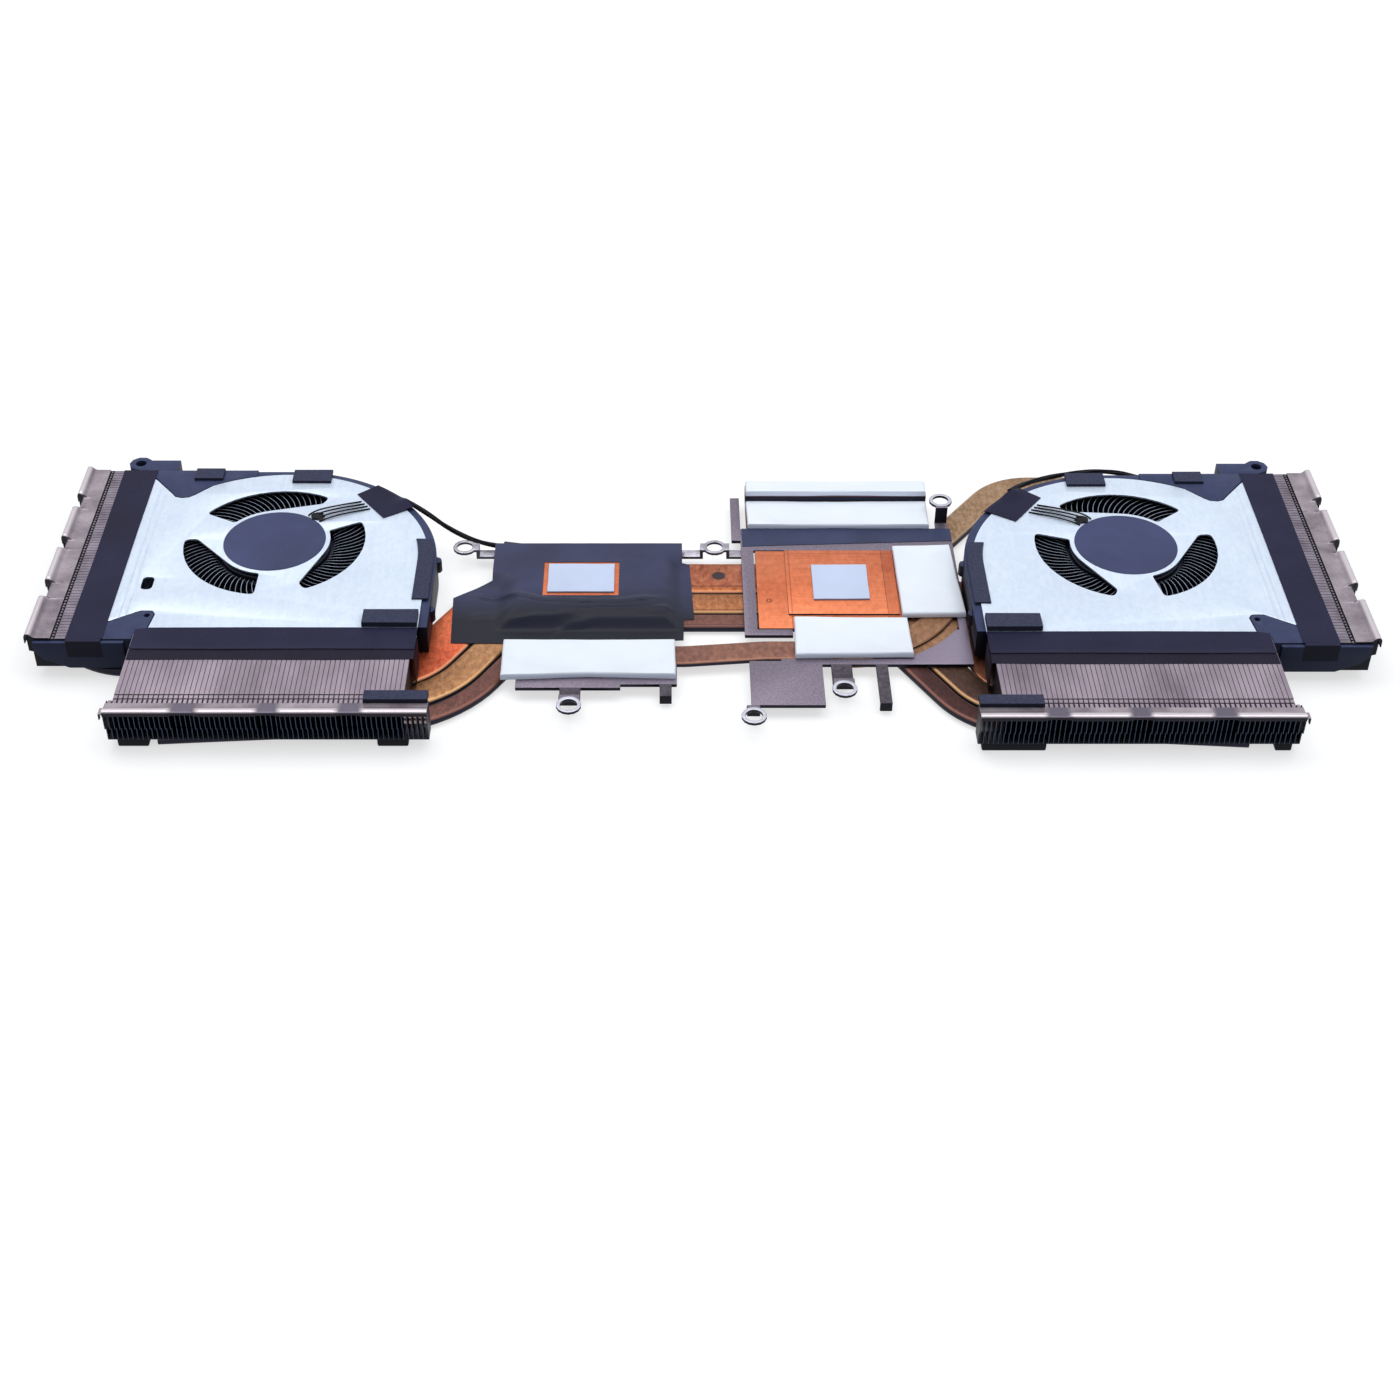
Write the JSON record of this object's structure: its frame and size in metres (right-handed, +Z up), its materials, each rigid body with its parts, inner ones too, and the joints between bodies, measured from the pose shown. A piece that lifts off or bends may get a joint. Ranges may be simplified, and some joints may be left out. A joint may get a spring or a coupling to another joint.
{
  "type": "laptop cooling fan heatsink",
  "caption": "Dual-fan laptop cooling module: black blower fans with steel covers, nickel fin stacks, flat copper heat pipes and two cold-plate blocks with thermal pads.",
  "frame": {"origin": "bottom centre of the whole module's box, on the surface that it lies on", "axes": "X along the module to the right fan, Y away from the long fin stacks, Z up on the contact side"},
  "size_m": [0.3366, 0.1186, 0.0125],
  "materials": {
    "housing_black": "fine matt moulding",
    "plate_steel": "bright galvanised sheet",
    "blade_black": "matt moulding",
    "shaft_steel": "ground",
    "magnet_dark": "bonded magnet",
    "bearing_brass": "turned",
    "stator_iron": "laminated",
    "label_black": "matt film",
    "lead_black": "insulated lead",
    "tape_black": "satin film",
    "cable_black": "sleeved",
    "plug_black": "moulded",
    "fin_nickel": "nickel-grey sheet",
    "cap_nickel": "nickel-grey sheet",
    "foam_black": "open foam",
    "foot_rubber": "soft pad",
    "pipe_orange": "drawn copper",
    "pipe_gold": "tarnished copper",
    "pipe_brown": "tarnished copper",
    "plate_copper": "bright copper",
    "bar_copper": "dark copper",
    "bracket_steel": "plain sheet",
    "pad_grey": "thermal paste pad",
    "pad_white": "thermal pad"
  },
  "bodies": {
    "base": {"left_fan_frame": "housing_black", "left_fan_plate": "plate_steel", "left_bearing_sleeve": "bearing_brass", "left_stator": "stator_iron", "left_hub_label": "label_black", "left_motor_wires": "lead_black", "left_wire_tape": "tape_black", "left_fan_cable": "cable_black", "left_cable_plug": "plug_black", "left_side_fins": "fin_nickel", "left_side_fin_cap": "cap_nickel", "left_front_fins": "fin_nickel", "left_front_fin_cap": "cap_nickel", "left_side_tape": "tape_black", "left_front_tape": "tape_black", "left_fan_floor": "plate_steel", "right_fan_frame": "housing_black", "right_fan_plate": "plate_steel", "right_bearing_sleeve": "bearing_brass", "right_stator": "stator_iron", "right_hub_label": "label_black", "right_motor_wires": "lead_black", "right_wire_tape": "tape_black", "right_fan_cable": "cable_black", "right_cable_plug": "plug_black", "right_side_fins": "fin_nickel", "right_side_fin_cap": "cap_nickel", "right_front_fins": "fin_nickel", "right_front_fin_cap": "cap_nickel", "right_side_tape": "tape_black", "right_front_tape": "tape_black", "right_fan_floor": "plate_steel", "wide_pipe": "pipe_orange", "middle_pipe": "pipe_gold", "narrow_pipe": "pipe_brown", "bridge_pipe": "pipe_brown", "rear_pipe": "pipe_gold", "processor_bracket": "bracket_steel", "processor_bar": "bracket_steel", "processor_plate": "plate_copper", "processor_tape": "tape_black", "processor_pad": "pad_grey", "processor_supply_pad": "pad_white", "graphics_bracket": "bracket_steel", "graphics_plate": "plate_copper", "graphics_pad": "pad_grey", "graphics_tape": "tape_black", "graphics_spreader": "bar_copper", "graphics_side_pad": "pad_white", "graphics_front_pad": "pad_white", "graphics_low_pad": "pad_white", "graphics_high_pad": "pad_white", "foam_pads": "foam_black", "rubber_feet": "foot_rubber"},
    "left_rotor": {"left_impeller": "blade_black", "left_rotor_shaft": "shaft_steel", "left_magnet_ring": "magnet_dark"},
    "right_rotor": {"right_impeller": "blade_black", "right_rotor_shaft": "shaft_steel", "right_magnet_ring": "magnet_dark"}
  },
  "joints": [
    {"name": "left_fan_spin", "type": "hinge", "parent": "base", "child": "left_rotor", "pos_m": [-0.11195, 0.0147, 0.006], "axis": [0, 0, 1], "continuous": true},
    {"name": "right_fan_spin", "type": "hinge", "parent": "base", "child": "right_rotor", "pos_m": [0.11195, 0.01305, 0.006], "axis": [0, 0, 1], "continuous": true}
  ]
}
